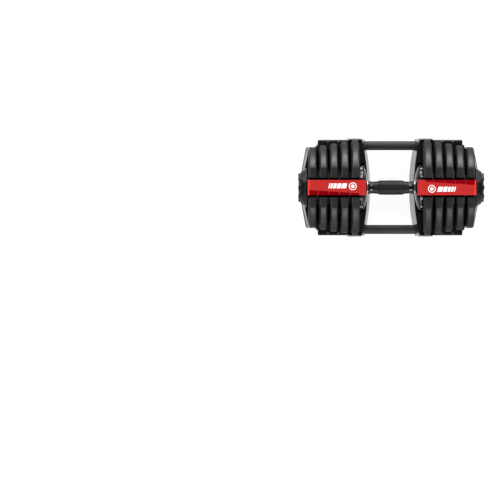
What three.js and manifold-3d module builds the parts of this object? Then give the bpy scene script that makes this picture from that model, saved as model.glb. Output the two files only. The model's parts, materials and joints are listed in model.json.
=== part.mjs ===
// Adjustable dumbbell in its cradle: a handle with two selector dials, five weight plates
// on each side, and a cradle of two trays joined by two rails.
//
// Millimetres, +Z up. The origin is on the floor, midway between the trays and the rails.
// X runs along the handle. The right half (+X) is modelled; the left half is the same half
// turned half a turn about Z, so each part comes as NAME_right and NAME_left.
import * as THREE from "three";
import { mergeVertices } from "three/addons/utils/BufferGeometryUtils.js";
import Module from "manifold-3d";

const wasm = await Module();
wasm.setup();

// ---------------------------------------------------------------- driving dimensions

const AXIS_Z = 122; // height of the handle's axis above the floor
const FIT = 0.4; // clearance left between pieces that touch or turn in each other

// weight plates, counted outwards from the handle
const PLATES = 5;
const PLATE_PITCH = 25.4;
const FIRST_PLATE_X = 86.3; // middle of the plate nearest the handle
const LARGEST_RADIUS = 114;
const RADIUS_STEP = 4.5; // each plate is this much smaller than the one inside it
const RIM_HALF = 7; // half thickness at the rim
const BODY_HALF = 9.8; // half thickness inside the bevel
const BEVEL_WIDTH = 10; // radial width of the bevel between body and rim
const FLAT_HALF_WIDTH = 47; // half width of the flat at the top and at the bottom
const SLOT_HALF_WIDTH = 19; // the slot that lets the handle drop into the plate
const MOUTH_HALF_WIDTH = 24; // the slot's flared mouth
const MOUTH_RISE = [26, 41]; // heights above the axis between which the slot flares
const HOOK_HALF_WIDTH = 7; // the hook on a plate's inner face that its disc picks up

// handle
const TUBE_RADIUS = 12.5;
const TUBE_BORE = 9.5;
const TUBE_HALF_LENGTH = 205;
const GRIP_HALF_LENGTH = 44.3;
const COUPLING_OUTER = 16; // radius of the toothed ring that joins the grip to a head
const TOOTH_HALF_ANGLE = 0.36; // of the ring's six teeth
const DOME_X = [56.6, 65.6]; // front and back of the domed hub beside the grip
const DOME_RADIUS = 52;

// selector, which turns with the dial
const SLEEVE_RADIUS = 17.5; // across the corners of its hexagon
const DISC_RADIUS = 42;
const DISC_WEB = [-4.6, -3]; // measured from the plate's inner face
const FLANGE = [-3.2, -FIT];
const FLANGE_RADII = [37.5, 41]; // the folded rim that picks up a plate's hook
const RING_X = [66.2, 70.6, 75]; // front and back of the number ring, and the end of its band
const RING_RADIUS = 53;
const DIAL_STOPS = 12;
const STOP_ANGLE = (2 * Math.PI) / DIAL_STOPS;

// cover over the slots, and the channel that carries it
const COVER_HALF_WIDTH = 18;
const COVER_WALL = 2.5;
const COVER_X = [60.8, 199.8];
const SPINE_X = [61, 197.8];
const SPINE_HALF_WIDTH = 13.5;
const SPINE_BOTTOM = AXIS_Z + 55;

// cradle
const RAIL_RADIUS = 11;
const RAIL_BORE = 8.8;
const RAIL_Y = 101;
const RAIL_Z = 30;
const RAIL_HALF_LENGTH = 150;
const TRAY_BOTTOM = 2.5;
const TRAY_FLOOR = [9, 12]; // underside and top of the tray's floor
const TRAY_WALL = 3;
const COVER_PLATE_THICKNESS = 2.2; // the plate that closes the tray's underside
const BULKHEAD_X = 74.3; // face beside the largest plate
const BULKHEAD_TOP = 98;
const BULKHEAD_APEX = [46.9, 55.2]; // how near the grip its face comes, at the bottom and the top
const BULKHEAD_ARC = 500; // the bulkhead bows towards the grip on this radius
const BEAM_Y = [86, 115]; // the side beams that hold the rails
const BEAM_TOP = 46;
const BEAM_END = 174;
const END_WALL_TOP = 64;
const FIN_HALF = 2.1; // half thickness of the fins between the plates
const FIN_TOP = 70;

// ---------------------------------------------------------------- materials

const paint = (color, roughness, metalness) =>
  new THREE.MeshStandardMaterial({ color, roughness, metalness });
const MATERIALS = {
  plate: paint(0x2c2d2e, 0.42, 0.35),
  tray: paint(0x1b1c1d, 0.38, 0),
  rail: paint(0x232425, 0.35, 0.4),
  grip: paint(0x1d1e1f, 0.75, 0),
  steel: paint(0xb9bcbf, 0.25, 1),
  cover: paint(0xbf1a1f, 0.35, 0),
  moulding: paint(0x161718, 0.4, 0),
  zinc: paint(0x8f9498, 0.4, 1),
  rubber: paint(0x121212, 0.85, 0),
};

// ---------------------------------------------------------------- solids

// A closed geometry as a manifold-3d solid with its faces pointing out.
function solid(geometry) {
  const bare = geometry.clone();
  bare.deleteAttribute("normal");
  bare.deleteAttribute("uv");
  const merged = mergeVertices(bare, 1e-4);
  const index = merged.index.array;
  const corners = [];
  for (let i = 0; i < index.length; i += 3) {
    const [a, b, c] = [index[i], index[i + 1], index[i + 2]];
    if (a !== b && b !== c && c !== a) corners.push(a, b, c);
  }
  const build = (triVerts) =>
    new wasm.Manifold(
      new wasm.Mesh({
        numProp: 3,
        vertProperties: new Float32Array(merged.attributes.position.array),
        triVerts: new Uint32Array(triVerts),
      }),
    );
  const made = build(corners);
  return made.volume() > 0 ? made : build([...corners].reverse());
}

// A manifold-3d solid as a three.js geometry.
function geometryOf(made) {
  const mesh = made.getMesh();
  const geometry = new THREE.BufferGeometry();
  const positions = new THREE.BufferAttribute(mesh.vertProperties, 3);
  geometry.setAttribute("position", positions);
  geometry.setIndex(new THREE.BufferAttribute(mesh.triVerts, 1));
  geometry.computeVertexNormals();
  return geometry;
}

const join = (...solids) => solids.reduce((a, b) => a.add(b));
const cut = (from, ...solids) => solids.reduce((a, b) => a.subtract(b), from);

// Both copies of a solid that stands on the +Y side: itself, and its mirror image in Y.
const bothSides = (make) => join(make(1), make(-1));

function block(x, y, z) {
  const size = [x, y, z].map(([low, high]) => high - low);
  const middle = [x, y, z].map(([low, high]) => (low + high) / 2);
  return solid(new THREE.BoxGeometry(...size).translate(...middle));
}

// A solid turned about the X axis at height z, from points [x, radius].
function turned(profile, segments, z = AXIS_Z) {
  const points = profile.map(([x, r]) => new THREE.Vector2(r, x));
  const geometry = new THREE.LatheGeometry(points, segments);
  return solid(geometry.rotateZ(-Math.PI / 2).translate(0, 0, z));
}

const rod = (x, radius, segments, z) =>
  turned([[x[0], 0], [x[0], radius], [x[1], radius], [x[1], 0]], segments, z);

// An outline of [y, z] points, or a Shape, extruded along X.
const ALONG_X = new THREE.Matrix4().makeBasis(
  new THREE.Vector3(0, 1, 0),
  new THREE.Vector3(0, 0, 1),
  new THREE.Vector3(1, 0, 0),
);
function extrudedX(outline, x, curveSegments = 12) {
  const shape = outline instanceof THREE.Shape ? outline : shapeOf(outline);
  const options = { depth: x[1] - x[0], bevelEnabled: false, curveSegments };
  const geometry = new THREE.ExtrudeGeometry(shape, options);
  return solid(geometry.applyMatrix4(ALONG_X).translate(x[0], 0, 0));
}

// An outline of [x, z] points extruded from y[0] to y[1].
function extrudedY(outline, y) {
  const options = { depth: y[1] - y[0], bevelEnabled: false };
  const geometry = new THREE.ExtrudeGeometry(shapeOf(outline), options);
  return solid(geometry.rotateX(Math.PI / 2).translate(0, y[1], 0));
}

const shapeOf = (points) =>
  new THREE.Shape(points.map(([a, b]) => new THREE.Vector2(a, b)));

// A solid between two outlines of [x, y] points with the same number of corners.
function lofted(lower, upper, z) {
  const flat = lower.map(([x, y]) => new THREE.Vector2(x, y));
  if (THREE.ShapeUtils.isClockWise(flat)) {
    return lofted([...lower].reverse(), [...upper].reverse(), z);
  }
  const count = lower.length;
  const positions = [];
  lower.forEach(([x, y]) => positions.push(x, y, z[0]));
  upper.forEach(([x, y]) => positions.push(x, y, z[1]));
  const index = [];
  for (let i = 0; i < count; i++) {
    const j = (i + 1) % count;
    index.push(i, j, count + j, i, count + j, count + i);
  }
  for (const [a, b, c] of THREE.ShapeUtils.triangulateShape(flat, [])) {
    index.push(a, c, b, count + a, count + b, count + c);
  }
  const geometry = new THREE.BufferGeometry();
  const attribute = new THREE.Float32BufferAttribute(positions, 3);
  geometry.setAttribute("position", attribute);
  geometry.setIndex(index);
  return solid(geometry);
}

// A regular polygon of [y, z] points round the handle's axis, flat or pointed at the top.
function polygon(radius, sides, turn = 0) {
  const points = [];
  for (let i = 0; i < sides; i++) {
    const angle = turn + (2 * Math.PI * i) / sides;
    const [y, z] = [Math.cos(angle), Math.sin(angle)];
    points.push([radius * y, AXIS_Z + radius * z]);
  }
  return points;
}

// A ring sector round the handle's axis, as a Shape in Y and Z.
function sector(radii, from, to) {
  const shape = new THREE.Shape();
  shape.absarc(0, AXIS_Z, radii[1], from, to, false);
  shape.absarc(0, AXIS_Z, radii[0], to, from, true);
  return shape;
}

// ---------------------------------------------------------------- weight plates

const plateX = (i) => FIRST_PLATE_X + i * PLATE_PITCH;
const plateRadius = (i) => LARGEST_RADIUS - i * RADIUS_STEP;
const plateFlat = (i) => Math.sqrt(plateRadius(i) ** 2 - FLAT_HALF_WIDTH ** 2);

function weightPlate(i) {
  const x = plateX(i);
  const radius = plateRadius(i);
  const body = [x - BODY_HALF, x + BODY_HALF];
  const disc = turned(
    [
      [body[0], 0],
      [body[0], radius - BEVEL_WIDTH],
      [x - RIM_HALF, radius],
      [x + RIM_HALF, radius],
      [body[1], radius - BEVEL_WIDTH],
      [body[1], 0],
    ],
    36,
  );
  const wide = [-radius - 1, radius + 1];
  const through = [body[0] - 1, body[1] + 1];
  const above = [AXIS_Z + plateFlat(i), AXIS_Z + radius + 1];
  const below = [AXIS_Z - radius - 1, AXIS_Z - plateFlat(i)];
  const slot = [
    [SLOT_HALF_WIDTH, AXIS_Z + MOUTH_RISE[0]],
    [MOUTH_HALF_WIDTH, AXIS_Z + MOUTH_RISE[1]],
    [MOUTH_HALF_WIDTH, above[1]],
    [-MOUTH_HALF_WIDTH, above[1]],
    [-MOUTH_HALF_WIDTH, AXIS_Z + MOUTH_RISE[1]],
    [-SLOT_HALF_WIDTH, AXIS_Z + MOUTH_RISE[0]],
    ...[4, 5, 6, 7, 8].map((k) => [
      SLOT_HALF_WIDTH * Math.cos((k * Math.PI) / 4),
      AXIS_Z + SLOT_HALF_WIDTH * Math.sin((k * Math.PI) / 4),
    ]),
  ];
  const hook = [body[0] + FLANGE[0] + 0.6, body[0] + 1];
  const hookHeight = [AXIS_Z - FLANGE_RADII[0] + 1.5, AXIS_Z - 28];
  return join(
    cut(disc, block(through, wide, above), block(through, wide, below), extrudedX(slot, through)),
    block(hook, [-HOOK_HALF_WIDTH, HOOK_HALF_WIDTH], hookHeight),
  );
}

// ---------------------------------------------------------------- selector

// The stops at which each disc's rim holds its plate, as runs of [first stop, stops].
const HELD_STOPS = [
  [[0, 11]],
  [[0, 7]],
  [[0, 4], [7, 1]],
  [[0, 2], [4, 1], [8, 1]],
  [[0, 1], [2, 1], [5, 1], [9, 1]],
];

function selectorDisc(i) {
  const face = plateX(i) - BODY_HALF; // the plate's inner face
  const at = (range) => range.map((offset) => face + offset);
  const web = rod(at(DISC_WEB), DISC_RADIUS, 24);
  const bore = extrudedX(polygon(SLEEVE_RADIUS + FIT, 6), at([-6, 1]));
  const rims = HELD_STOPS[i].map(([first, stops]) => {
    const start = -Math.PI / 2 + (first - 0.5) * STOP_ANGLE;
    const shape = sector(FLANGE_RADII, start, start + stops * STOP_ANGLE);
    return extrudedX(shape, at(FLANGE), Math.ceil(1.4 * stops));
  });
  return join(cut(web, bore), ...rims);
}

function selectorSleeve() {
  const x = [DOME_X[1] + FIT, 205.5];
  const hexagon = extrudedX(polygon(SLEEVE_RADIUS, 6), x);
  return cut(hexagon, rod([x[0] - 1, x[1] + 1], TUBE_RADIUS + FIT, 20));
}

function numberRing() {
  const x = RING_X;
  const band = DISC_RADIUS + 5;
  const ring = turned(
    [
      [x[0], 0],
      [x[0], RING_RADIUS - 1],
      [x[0] + 1, RING_RADIUS],
      [x[2], RING_RADIUS],
      [x[2], band],
      [x[1], band],
      [x[1], 0],
    ],
    24,
  );
  // an annular groove lets the lock's tooth pass, and a notch at each stop catches it
  const depth = [x[0] - 1, x[0] + 2.6];
  const groove = cut(rod(depth, 39, 20), rod([depth[0] - 1, depth[1] + 1], 27, 20));
  const notches = [];
  for (let k = 0; k < DIAL_STOPS; k++) {
    const middle = -Math.PI / 2 + k * STOP_ANGLE;
    notches.push(extrudedX(sector([38, 45.5], middle - 0.09, middle + 0.09), depth, 1));
  }
  const bore = extrudedX(polygon(SLEEVE_RADIUS + FIT, 6), [x[0] - 1, x[1] + 1]);
  return cut(ring, groove, bore, ...notches);
}

const KNOB_LOBES = 8;
const KNOB_WAVE = 1.5; // how far the lobes stand out from the knob's mean radius
function dial() {
  const skirt = turned(
    [
      [201.2, 19],
      [201.2, 22],
      [211.5, 22],
      [211.5, 34],
      [201.2, 43.5],
      [201.2, 47],
      [203, 47],
      [214.6, 39.5],
      [216.6, 37.2],
      [216.6, 16.4],
      [205.9, 16.4],
      [205.9, 19],
      [201.2, 19],
    ],
    24,
  );
  const outline = [];
  const count = KNOB_LOBES * 4;
  for (let k = 0; k < count; k++) {
    const angle = (2 * Math.PI * k) / count;
    const radius = 33 + KNOB_WAVE * Math.cos(KNOB_LOBES * angle);
    outline.push([radius * Math.cos(angle), AXIS_Z + radius * Math.sin(angle)]);
  }
  const knob = extrudedX(outline, [216, 222]);
  const pointer = block([203.4, 216.6], [-13.6, 13.6], [AXIS_Z + 35, AXIS_Z + 43.8]);
  const pocket = rod([214, 223], 14, 16);
  const socket = extrudedX(polygon(SLEEVE_RADIUS + FIT, 6), [200, 207]);
  const hub = cut(rod([201.4, 206.2], 19.6, 16), socket);
  return join(cut(join(skirt, knob, pointer), pocket, rod([205.9, 214.5], 16.4, 16)), hub);
}

const dialCap = () =>
  turned([[215, 0], [215, 13.4], [220.4, 13.4], [221.4, 12], [221.4, 0]], 20);

// ---------------------------------------------------------------- handle

function handleTube() {
  const x = [-TUBE_HALF_LENGTH, TUBE_HALF_LENGTH];
  return cut(rod(x, TUBE_RADIUS, 20), rod([x[0] - 1, x[1] + 1], TUBE_BORE, 20));
}

function grip() {
  const half = GRIP_HALF_LENGTH;
  const bore = TUBE_RADIUS + FIT;
  const swell = [[half, 13.9], [33, 15], [29, 16.4], [12, 17.2]]; // [x, radius]
  const outer = [...swell.map(([x, r]) => [-x, r]), ...swell.reverse()];
  return turned([[-half, bore], ...outer, [half, bore], [-half, bore]], 20);
}

function couplingRing() {
  const x = [50.5, DOME_X[0] - FIT];
  const bore = TUBE_RADIUS + FIT;
  const teeth = [];
  for (let k = 0; k < 6; k++) {
    const middle = Math.PI / 2 + (k * Math.PI) / 3;
    const shape = sector([bore, 15], middle - TOOTH_HALF_ANGLE, middle + TOOTH_HALF_ANGLE);
    teeth.push(extrudedX(shape, [GRIP_HALF_LENGTH + FIT, x[0] + 1], 2));
  }
  return cut(join(rod(x, COUPLING_OUTER, 20), ...teeth), rod([40, 60], bore, 16));
}

function hubDome() {
  const [front, back] = DOME_X;
  const bore = TUBE_RADIUS + FIT;
  const dome = turned(
    [
      [back, bore],
      [front, bore],
      [front, 18],
      [57.3, 26],
      [58.9, 34],
      [61.4, 42],
      [64.2, 49],
      [back, DOME_RADIUS],
      [back, bore],
    ],
    28,
  );
  // an ear at the top carries the channel, and a pocket at the bottom guides the lock
  const ear = block([61.5, back], [-12, 12], [AXIS_Z + 40, SPINE_BOTTOM - FIT]);
  const guide = block([62, back + 1], [-6.5, 6.5], [AXIS_Z - 60, AXIS_Z - 18]);
  const springWell = block([58.6, back + 1], [-4, 4], [AXIS_Z - 31, AXIS_Z - 15]);
  return cut(join(dome, ear), guide, springWell);
}

// Height of the cover's ridge line, which follows the tops of the plates.
const RIDGE_LIFT = 2.5;
const ridgeSlope = (plateFlat(PLATES - 1) - plateFlat(0)) / ((PLATES - 1) * PLATE_PITCH);
const ridge = (x) =>
  AXIS_Z + plateFlat(0) + RIDGE_LIFT + ridgeSlope * (x - FIRST_PLATE_X);

function topCover() {
  const [inner, outer] = COVER_X;
  const foot = SPINE_BOTTOM + 9;
  const skirt = 14; // depth of the cover's sides below its ridge
  // the side view, set in from the outside by the wall's thickness for the hollow
  const side = (inset) => [
    [inner + inset, foot - 1.2 * inset],
    [inner + 0.8 + inset, 212 - inset],
    [66 + inset, 225.5 - inset],
    [75, ridge(75) - inset],
    [outer - 7, ridge(outer - 7) - inset],
    [outer - inset, ridge(outer) - 3.5 - inset],
    [outer - inset, ridge(outer) - skirt - 1.2 * inset],
    [78, ridge(78) - skirt - 1.2 * inset],
    [72, foot - 1.2 * inset],
  ];
  const half = COVER_HALF_WIDTH;
  const shell = cut(
    extrudedY(side(0), [-half, half]),
    extrudedY(side(COVER_WALL), [COVER_WALL - half, half - COVER_WALL]),
  );
  // one long edge has a bevel that widens outwards, the other a narrow one
  const edge = (y, width, depth) =>
    [0, 1].map((end) => {
      const x = end ? outer + 1 : 76;
      const top = ridge(x) + 6;
      const drop = depth[end] * (1 + 6 / width[end]);
      return [
        [x, y * (half - width[end] - 6), top],
        [x, y * (half + 6), top],
        [x, y * (half + 6), top - 6 - drop],
      ];
    });
  const wedge = (ends) => {
    const geometry = new THREE.BufferGeometry();
    const attribute = new THREE.Float32BufferAttribute(ends.flat(2), 3);
    geometry.setAttribute("position", attribute);
    const sides = [0, 1, 2].flatMap((i) => {
      const j = (i + 1) % 3;
      return [i, j, j + 3, i, j + 3, i + 3];
    });
    geometry.setIndex([0, 2, 1, 3, 4, 5, ...sides]);
    return solid(geometry);
  };
  return cut(
    shell,
    wedge(edge(1, [5, 13], [1.2, 2])),
    wedge(edge(-1, [2, 2], [1, 1])),
  );
}

function coverSpine() {
  const [inner, outer] = SPINE_X;
  const below = COVER_WALL + FIT + 0.8;
  const side = (drop) => [
    [inner + 3, SPINE_BOTTOM],
    [outer - 0.8, SPINE_BOTTOM],
    [outer - 0.8, ridge(outer) - 4 - below - drop],
    [outer - 9, ridge(outer - 9) - below - drop],
    [78, ridge(78) - below - drop],
    [70, 224 - below - drop],
    [inner + 3, 210 - below - drop],
  ];
  const wall = 2.5;
  const half = SPINE_HALF_WIDTH;
  const hollow = side(wall).map(([x, z], i) => [x, i < 2 ? z - 5 : z]);
  return cut(
    extrudedY(side(0), [-half, half]),
    extrudedY(hollow, [wall - half, half - wall]),
  );
}

function endPlate() {
  const x = [198.2, 200.6];
  const disc = rod(x, 30, 24);
  const arm = block(x, [-13, 13], [AXIS_Z + 20, 188]);
  const bore = rod([x[0] - 1, x[1] + 1], SLEEVE_RADIUS + FIT + 0.3, 20);
  return cut(join(disc, arm), bore);
}

function axleBolt() {
  const shank = rod([190, 206.5], TUBE_BORE - FIT, 16);
  const washer = rod([206.3, 208.3], 15.8, 20);
  const head = extrudedX(polygon(9.5, 6), [208, 213.6]);
  return join(shank, washer, head);
}

// ---------------------------------------------------------------- lock

function lockTab() {
  const bar = block([62.5, 65.2], [-5.8, 5.8], [AXIS_Z - 46, AXIS_Z - 30]);
  const tooth = block([65, 68.2], [-1.6, 1.6], [AXIS_Z - 38, AXIS_Z - 33]);
  return join(bar, tooth);
}

function lockSpring() {
  const turns = 4;
  const [bottom, top] = [AXIS_Z - 29.4, AXIS_Z - 15.8];
  class Helix extends THREE.Curve {
    getPoint(t) {
      const angle = 2 * Math.PI * turns * t;
      const z = THREE.MathUtils.lerp(bottom, top, t);
      return new THREE.Vector3(62.2 + 2.6 * Math.cos(angle), 2.6 * Math.sin(angle), z);
    }
  }
  const wire = shapeOf([[0.45, 0], [0, 0.45], [-0.45, 0], [0, -0.45]]);
  const options = { steps: 28, extrudePath: new Helix() };
  return solid(new THREE.ExtrudeGeometry(wire, options));
}

// The post in the tray that pushes the tab up while the dumbbell stands in the cradle.
const POST_SEAT = 50;
const releasePost = () =>
  join(
    block([62.5, 65.2], [-4, 4], [POST_SEAT - 6, AXIS_Z - 46 - FIT]),
    block([60.5, 68], [-7, 7], [POST_SEAT + FIT, POST_SEAT + 3]),
  );
const postSeat = () =>
  join(
    block([60.1, 68.4], [-7.4, 7.4], [POST_SEAT, POST_SEAT + 36]),
    block([62.1, 65.6], [-4.4, 4.4], [POST_SEAT - 8, POST_SEAT + 1]),
  );

// ---------------------------------------------------------------- cradle

// The tray's outline as [x, y] points, drawn in by inset, closed on the inner side by front.
function trayOutline(inset, front) {
  const side = [
    [BULKHEAD_X - TRAY_WALL, BEAM_Y[1] - inset],
    [BEAM_END - 3 - inset, BEAM_Y[1] - inset],
    [BEAM_END - inset, BEAM_Y[1] - 3 - inset],
    [BEAM_END - 0.5 - inset, 104.5 - inset],
    [181 - inset, 97.5 - inset],
    [199 - inset, 97.5 - inset],
    [202.5 - inset, 95 - inset],
    [212 - inset, 45],
  ];
  const mirrored = side.map(([x, y]) => [x, -y]);
  return [...front, ...mirrored, [214 - inset, 0], ...[...side].reverse()];
}

// Points on the bulkhead's bowed face, from +halfWidth to -halfWidth in Y.
function bulkheadArc(apex, halfWidth, steps) {
  const points = [];
  for (let i = 0; i <= steps; i++) {
    const y = halfWidth * (1 - (2 * i) / steps);
    const x = apex + BULKHEAD_ARC - Math.sqrt(BULKHEAD_ARC ** 2 - y ** 2);
    points.push([x, y]);
  }
  return points;
}

function bulkhead() {
  const face = (apex, halfWidth, back) => [
    ...bulkheadArc(apex, halfWidth, 8),
    [back, -halfWidth],
    [back, halfWidth],
  ];
  const [low, high] = BULKHEAD_APEX;
  const wall = lofted(
    face(low, 117, BULKHEAD_X),
    face(high, 114, BULKHEAD_X),
    [TRAY_BOTTOM, BULKHEAD_TOP],
  );
  const back = BULKHEAD_X - TRAY_WALL;
  const hollow = lofted(
    face(low + TRAY_WALL, 104, back),
    face(low + 3.8 + TRAY_WALL, 104, back),
    [TRAY_BOTTOM - 1, 46],
  );
  // a hollow round the handle's axis leaves room for the domed hub
  const profile = [[40, 0], [40, 40], [58.6, 40], [62.5, 52], [64, 64], [75, 64], [75, 0]];
  const cradle = turned(profile, 28);
  return cut(wall, cradle, hollow);
}

// The posts beside the largest plate, thick at the floor and slimmer at the top.
const pillar = (side) => {
  const outline = (outer, inset) =>
    [
      [66 + inset, 110],
      [104.5 - inset, 110],
      [104.5 - inset, outer - 5],
      [102 - inset, outer],
      [69 + inset, outer],
      [66 + inset, outer - 3],
    ].map(([x, y]) => [x, side * y]);
  const post = lofted(outline(119, 0), outline(115.6, 1.5), [TRAY_BOTTOM, BULKHEAD_TOP]);
  return cut(post, block([60, 110], [-112.6, 112.6], [BEAM_TOP - 1, 130]));
};

const beam = (side) => {
  const [inner, outer] = BEAM_Y;
  const section = [
    [outer, TRAY_BOTTOM],
    [outer, BEAM_TOP - 2.5],
    [outer - 2.5, BEAM_TOP],
    [inner + 6, BEAM_TOP],
    [inner, BEAM_TOP - 6],
    [inner, TRAY_BOTTOM],
  ].map(([y, z]) => [side * y, z]);
  const corner = block([BEAM_END - 3, BEAM_END + 5], [outer - 3, outer + 5], [0, 60]);
  const rounded = cut(corner, rodZ(BEAM_END - 3, outer - 3, 3, [-1, 61]));
  const bar = extrudedX(section, [66, BEAM_END]);
  return cut(bar, side > 0 ? rounded : rounded.mirror([0, 1, 0]));
};

// An upright cylinder.
function rodZ(x, y, radius, z) {
  const geometry = new THREE.CylinderGeometry(radius, radius, z[1] - z[0], 16);
  return solid(geometry.rotateX(Math.PI / 2).translate(x, y, (z[0] + z[1]) / 2));
}

const FIN_INNER = [94, 89, 84, 77]; // where each fin starts in Y, from the handle outwards
const FIN_OUTER = [112, 112, 112, 103];
const fin = (side, i) => {
  const x = plateX(i) + PLATE_PITCH / 2;
  const outline = [
    [FIN_INNER[i], TRAY_FLOOR[0]],
    [FIN_INNER[i], FIN_TOP - 14],
    [FIN_INNER[i] + 9, FIN_TOP],
    [FIN_OUTER[i] - 3, FIN_TOP],
    [FIN_OUTER[i], FIN_TOP - 6],
    [FIN_OUTER[i], TRAY_FLOOR[0]],
  ].map(([y, z]) => [side * y, z]);
  return extrudedX(outline, [x - FIN_HALF, x + FIN_HALF]);
};

function endWall() {
  const outline = (inset, lean) =>
    [-1, 1].flatMap((side) => {
      const half = [
        [170, side * (97.5 - inset)],
        [199 - lean - inset, side * (97.5 - inset)],
        [202.5 - lean - inset, side * (95 - inset)],
        [212 - lean - inset, side * 45],
      ];
      return side < 0 ? half : half.reverse();
    });
  const z = [TRAY_BOTTOM, END_WALL_TOP];
  const whole = lofted(outline(0, 0), outline(4, 2), z);
  const room = lofted(outline(TRAY_WALL, 0), outline(6.4, 2), [z[0] - 1, z[1] + 1]);
  const open = block([160, 181.2], [-110, 110], [BEAM_TOP, 80]);
  return cut(whole, room, open);
}

function saddle(i) {
  const x = plateX(i);
  const reach = PLATE_PITCH / 2;
  const top = AXIS_Z - plateFlat(i) - FIT;
  return block([x - reach, x + reach], [-52, 52], [TRAY_FLOOR[0], top]);
}

const saddleHollow = (i) => {
  const x = plateX(i);
  const reach = PLATE_PITCH / 2 - 1.5;
  const top = AXIS_Z - plateFlat(i) - FIT - TRAY_WALL;
  return block([x - reach, x + reach], [-49, 49], [TRAY_BOTTOM - 1, top]);
};

// The flat shape of the plate that closes the tray's underside between the side beams.
function coverBlank(inset, margin, z) {
  const outline = trayOutline(inset, bulkheadArc(48.3 + inset, 104, 8));
  const beams = bothSides((side) => {
    const inner = side * (BEAM_Y[0] - margin);
    return block([60, BEAM_END + margin], [inner, side * 125].sort((a, b) => a - b), [0, 10]);
  });
  return cut(lofted(outline, outline, z), beams);
}

function tray() {
  const plates = [...Array(PLATES).keys()];
  const outline = trayOutline(0, []);
  const inside = trayOutline(TRAY_WALL, []);
  const pan = cut(
    lofted(outline, outline, [TRAY_BOTTOM, TRAY_FLOOR[1]]),
    lofted(inside, inside, [TRAY_BOTTOM - 1, TRAY_FLOOR[0]]),
  );
  const gaps = plates.slice(0, -1);
  const shell = join(
    pan,
    bulkhead(),
    endWall(),
    bothSides(pillar),
    bothSides(beam),
    ...gaps.flatMap((i) => [fin(1, i), fin(-1, i)]),
    ...plates.map(saddle),
  );
  const sockets = bothSides((side) =>
    rod([40, RAIL_HALF_LENGTH + FIT], RAIL_RADIUS + FIT, 14, RAIL_Z).translate(0, side * RAIL_Y, 0),
  );
  const room = AXIS_Z - plateFlat(0) - FIT - TRAY_WALL;
  const underside = block([BULKHEAD_X - 1, 80], [-49, 49], [TRAY_BOTTOM - 1, room]);
  // the floor's hollow runs on under the bulkhead, so one cover closes both
  const passage = block([BULKHEAD_X - 4, 80], [-84, 84], [TRAY_BOTTOM - 1, TRAY_FLOOR[0]]);
  const seatTop = TRAY_BOTTOM + COVER_PLATE_THICKNESS + FIT;
  const coverSeat = coverBlank(TRAY_WALL, 0, [TRAY_BOTTOM - 1, seatTop]);
  return cut(
    shell,
    sockets,
    underside,
    passage,
    coverSeat,
    postSeat(),
    ...plates.map(saddleHollow),
  );
}

const trayCover = () =>
  coverBlank(TRAY_WALL + FIT, 1, [TRAY_BOTTOM, TRAY_BOTTOM + COVER_PLATE_THICKNESS]);

function rail() {
  const x = [-RAIL_HALF_LENGTH, RAIL_HALF_LENGTH];
  const tube = rod(x, RAIL_RADIUS, 20, RAIL_Z);
  return cut(tube, rod([x[0] - 1, x[1] + 1], RAIL_BORE, 20, RAIL_Z));
}

const FOOT_TOP = TRAY_BOTTOM - FIT;
const foot = (x) => block([x - 6, x + 6], [-70, 70], [0, FOOT_TOP]);

// ---------------------------------------------------------------- assembly

const dumbbell = new THREE.Group();

function place(parent, name, made, material) {
  const mesh = new THREE.Mesh(geometryOf(made), MATERIALS[material]);
  mesh.name = name;
  parent.add(mesh);
}

place(dumbbell, "handle_tube", handleTube(), "steel");
place(dumbbell, "grip", grip(), "grip");
for (const [name, y] of [["rail_front", -RAIL_Y], ["rail_rear", RAIL_Y]]) {
  place(dumbbell, name, rail().translate(0, y, 0), "rail");
}

for (const [side, turn] of [["right", 0], ["left", Math.PI]]) {
  const half = new THREE.Group();
  half.rotation.z = turn;
  dumbbell.add(half);
  const add = (name, made, material) => place(half, `${name}_${side}`, made, material);

  add("tray", tray(), "tray");
  add("tray_cover", trayCover(), "tray");
  add("foot_inner", foot(86), "rubber");
  add("foot_outer", foot(190), "rubber");
  add("release_post", releasePost(), "zinc");

  add("coupling_ring", couplingRing(), "moulding");
  add("hub_dome", hubDome(), "moulding");
  add("cover_spine", coverSpine(), "zinc");
  add("top_cover", topCover(), "cover");
  add("end_plate", endPlate(), "zinc");
  add("axle_bolt", axleBolt(), "zinc");
  add("lock_spring", lockSpring(), "steel");
  add("lock_tab", lockTab(), "zinc");

  add("selector_sleeve", selectorSleeve(), "zinc");
  add("number_ring", numberRing(), "moulding");
  add("dial", dial(), "moulding");
  add("dial_cap", dialCap(), "moulding");
  for (let i = 0; i < PLATES; i++) {
    add(`selector_disc_${i + 1}`, selectorDisc(i), "moulding");
    add(`weight_plate_${i + 1}`, weightPlate(i), "plate");
  }
}

export default dumbbell;
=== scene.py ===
import json
import math

import bmesh
import bpy
from mathutils import Matrix, Vector

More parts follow.
